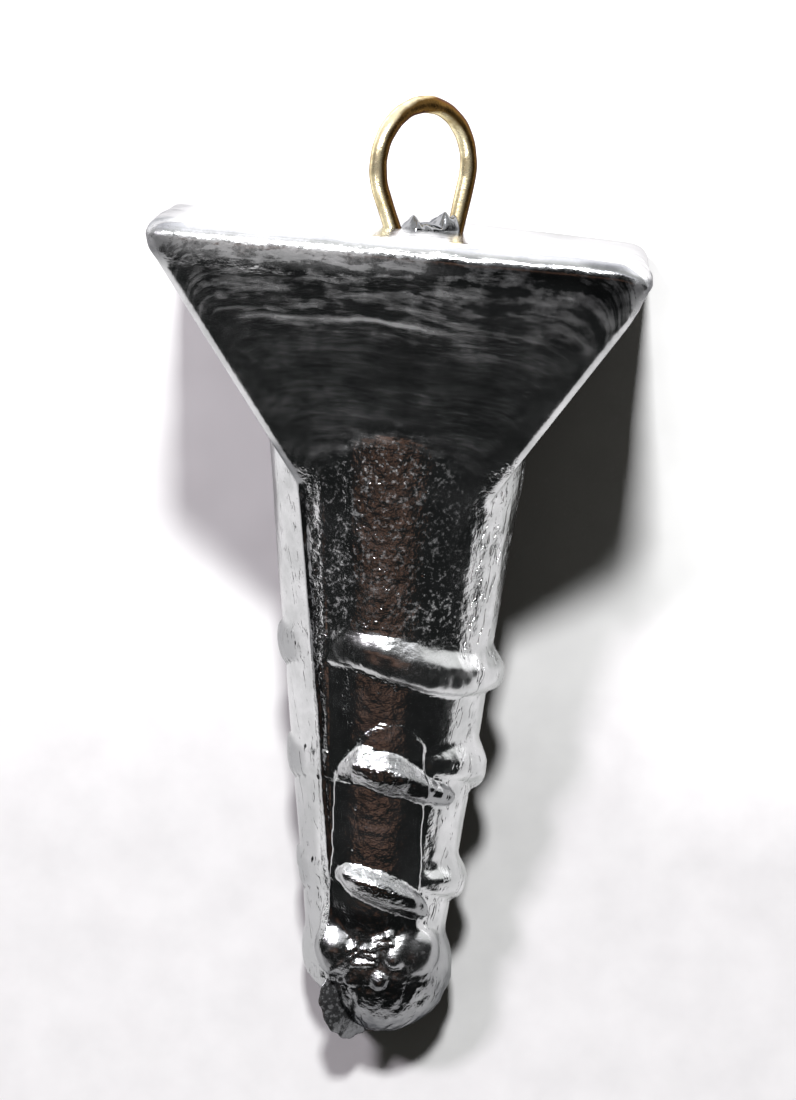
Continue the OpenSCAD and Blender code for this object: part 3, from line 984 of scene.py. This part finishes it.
def lamp(name, place, width, power, tint):
    """A square soft lamp at place that points at the sinker."""
    light = bpy.data.lights.new(name, "AREA")
    light.size = width
    light.energy = power
    light.color = tint
    shown = bpy.data.objects.new(name, light)
    back = (Vector(place) - Vector(lamp_aim)).normalized()
    shown.matrix_world = Matrix.Translation(place) @ back.to_track_quat("Z", "Y").to_matrix().to_4x4()
    bpy.context.scene.collection.objects.link(shown)


lamp("key_lamp", (-0.012, 0.42, 0.91), 0.105, 7.75, (1, 1, 1))
lamp("left_lamp", (-0.31, 0.23, 0.60), 0.09, 2.03, (1.0, 0.93, 1.0))

dark_room = (0.014, 0.015, 0.015, 1)
warm_patch = (0.165, 0.092, 0.066, 1)
white_wall = (1.0, 1.0, 1.0, 1)
window_wall = (1.7, 1.68, 1.8, 1)
white_card = (1.9, 1.88, 2.0, 1)
dim_light = (0.034, 0.033, 0.030, 1)
pale_backdrop = (0.93, 0.93, 0.93, 1)
warm_heading = (-0.10, -0.57, 0.82)


def room_colour(tree, heading):
    """What the metal mirrors: a dark room with a warm patch in front, a white wall on the eye's side
    that is brightest straight ahead, and a white card low in its middle."""
    parts = add(tree, "ShaderNodeSeparateXYZ", {0: heading}).outputs
    aside = maths(tree, "ABSOLUTE", parts["X"])
    toward = {0: heading, 1: warm_heading}
    toward = add(tree, "ShaderNodeVectorMath", toward, operation="DOT_PRODUCT").outputs["Value"]
    warm = ramp(tree, toward, 0.88, 0.97, smooth=True)
    warm = maths(tree, "MULTIPLY", warm, ramp(tree, parts["Y"], -0.265, -0.31, smooth=True))
    warm = maths(tree, "MULTIPLY", warm, ramp(tree, parts["Y"], -0.6, -0.48, smooth=True))
    dark = blend(tree, warm, dark_room, warm_patch)
    bright = blend(tree, ramp(tree, parts["Y"], 0.75, 0.95), white_wall, window_wall)
    leaning = maths(tree, "MULTIPLY_ADD", aside, 0.26, parts["Y"])
    room = blend(tree, ramp(tree, leaning, 0.38, 0.56, smooth=True), dark, bright)
    card = ramp(tree, aside, 0.7, 0.5, smooth=True)
    card = maths(tree, "MULTIPLY", card, ramp(tree, parts["Y"], 0.34, 0.4, smooth=True))
    card = maths(tree, "MULTIPLY", card, ramp(tree, parts["Y"], 0.58, 0.46, smooth=True))
    return blend(tree, card, room, white_card)


# The room shows in mirror reflections only, and the camera sees a pale backdrop
sky = bpy.data.worlds.new("studio")
bpy.context.scene.world = sky
sky.use_nodes = True
tree = sky.node_tree
tree.nodes.clear()
ray = add(tree, "ShaderNodeLightPath").outputs
room = room_colour(tree, add(tree, "ShaderNodeTexCoord").outputs["Generated"])
mirrored = maths(tree, "MULTIPLY", maths(tree, "LESS_THAN", ray["Diffuse Depth"], 0.5), ray["Is Glossy Ray"])
around = blend(tree, mirrored, dim_light, room)
around = blend(tree, ray["Is Camera Ray"], around, pale_backdrop)
glow = add(tree, "ShaderNodeBackground", {"Color": around, "Strength": 1.0})
add(tree, "ShaderNodeOutputWorld", {"Surface": glow.outputs[0]})


# Camera
# It looks down on the sinker's front, a few degrees from square to the shaft, as in the photograph.
# Its angles are measured from the standing sinker: above square, round the shaft, and its own roll.
camera_rise = np.radians(7.07)
camera_turn = np.radians(1.96)
camera_roll = np.radians(2.67)
camera_away = 300.0
camera_offset = np.array([0.59, -18.64])
photo_px = 796.0
focal_px = 5153.0
sensor_w = 36.0

side = np.array([np.cos(camera_turn), np.sin(camera_turn), 0.0])
deep = np.array([-np.sin(camera_turn), np.cos(camera_turn), 0.0])
lifted = upright * np.cos(camera_rise) + deep * np.sin(camera_rise)
ahead = deep * np.cos(camera_rise) - upright * np.sin(camera_rise)
right = side * np.cos(camera_roll) + lifted * np.sin(camera_roll)
down = side * np.sin(camera_roll) - lifted * np.cos(camera_roll)
stand = -camera_offset[0] * right - camera_offset[1] * down - camera_away * ahead
placed = np.eye(4)
placed[:3, :3] = lay @ np.stack([right, -down, -ahead], axis=-1)
placed[:3, 3] = lay_down(stand)
camera_data = bpy.data.cameras.new("camera")
camera_data.sensor_fit = "HORIZONTAL"
camera_data.sensor_width = sensor_w
camera_data.lens = sensor_w * focal_px / photo_px
camera_data.clip_start = 0.01
camera_data.clip_end = 20.0
camera = bpy.data.objects.new("camera", camera_data)
camera.matrix_world = Matrix(placed.tolist())
bpy.context.scene.collection.objects.link(camera)
bpy.context.scene.camera = camera
bpy.context.scene.view_settings.view_transform = "Standard"
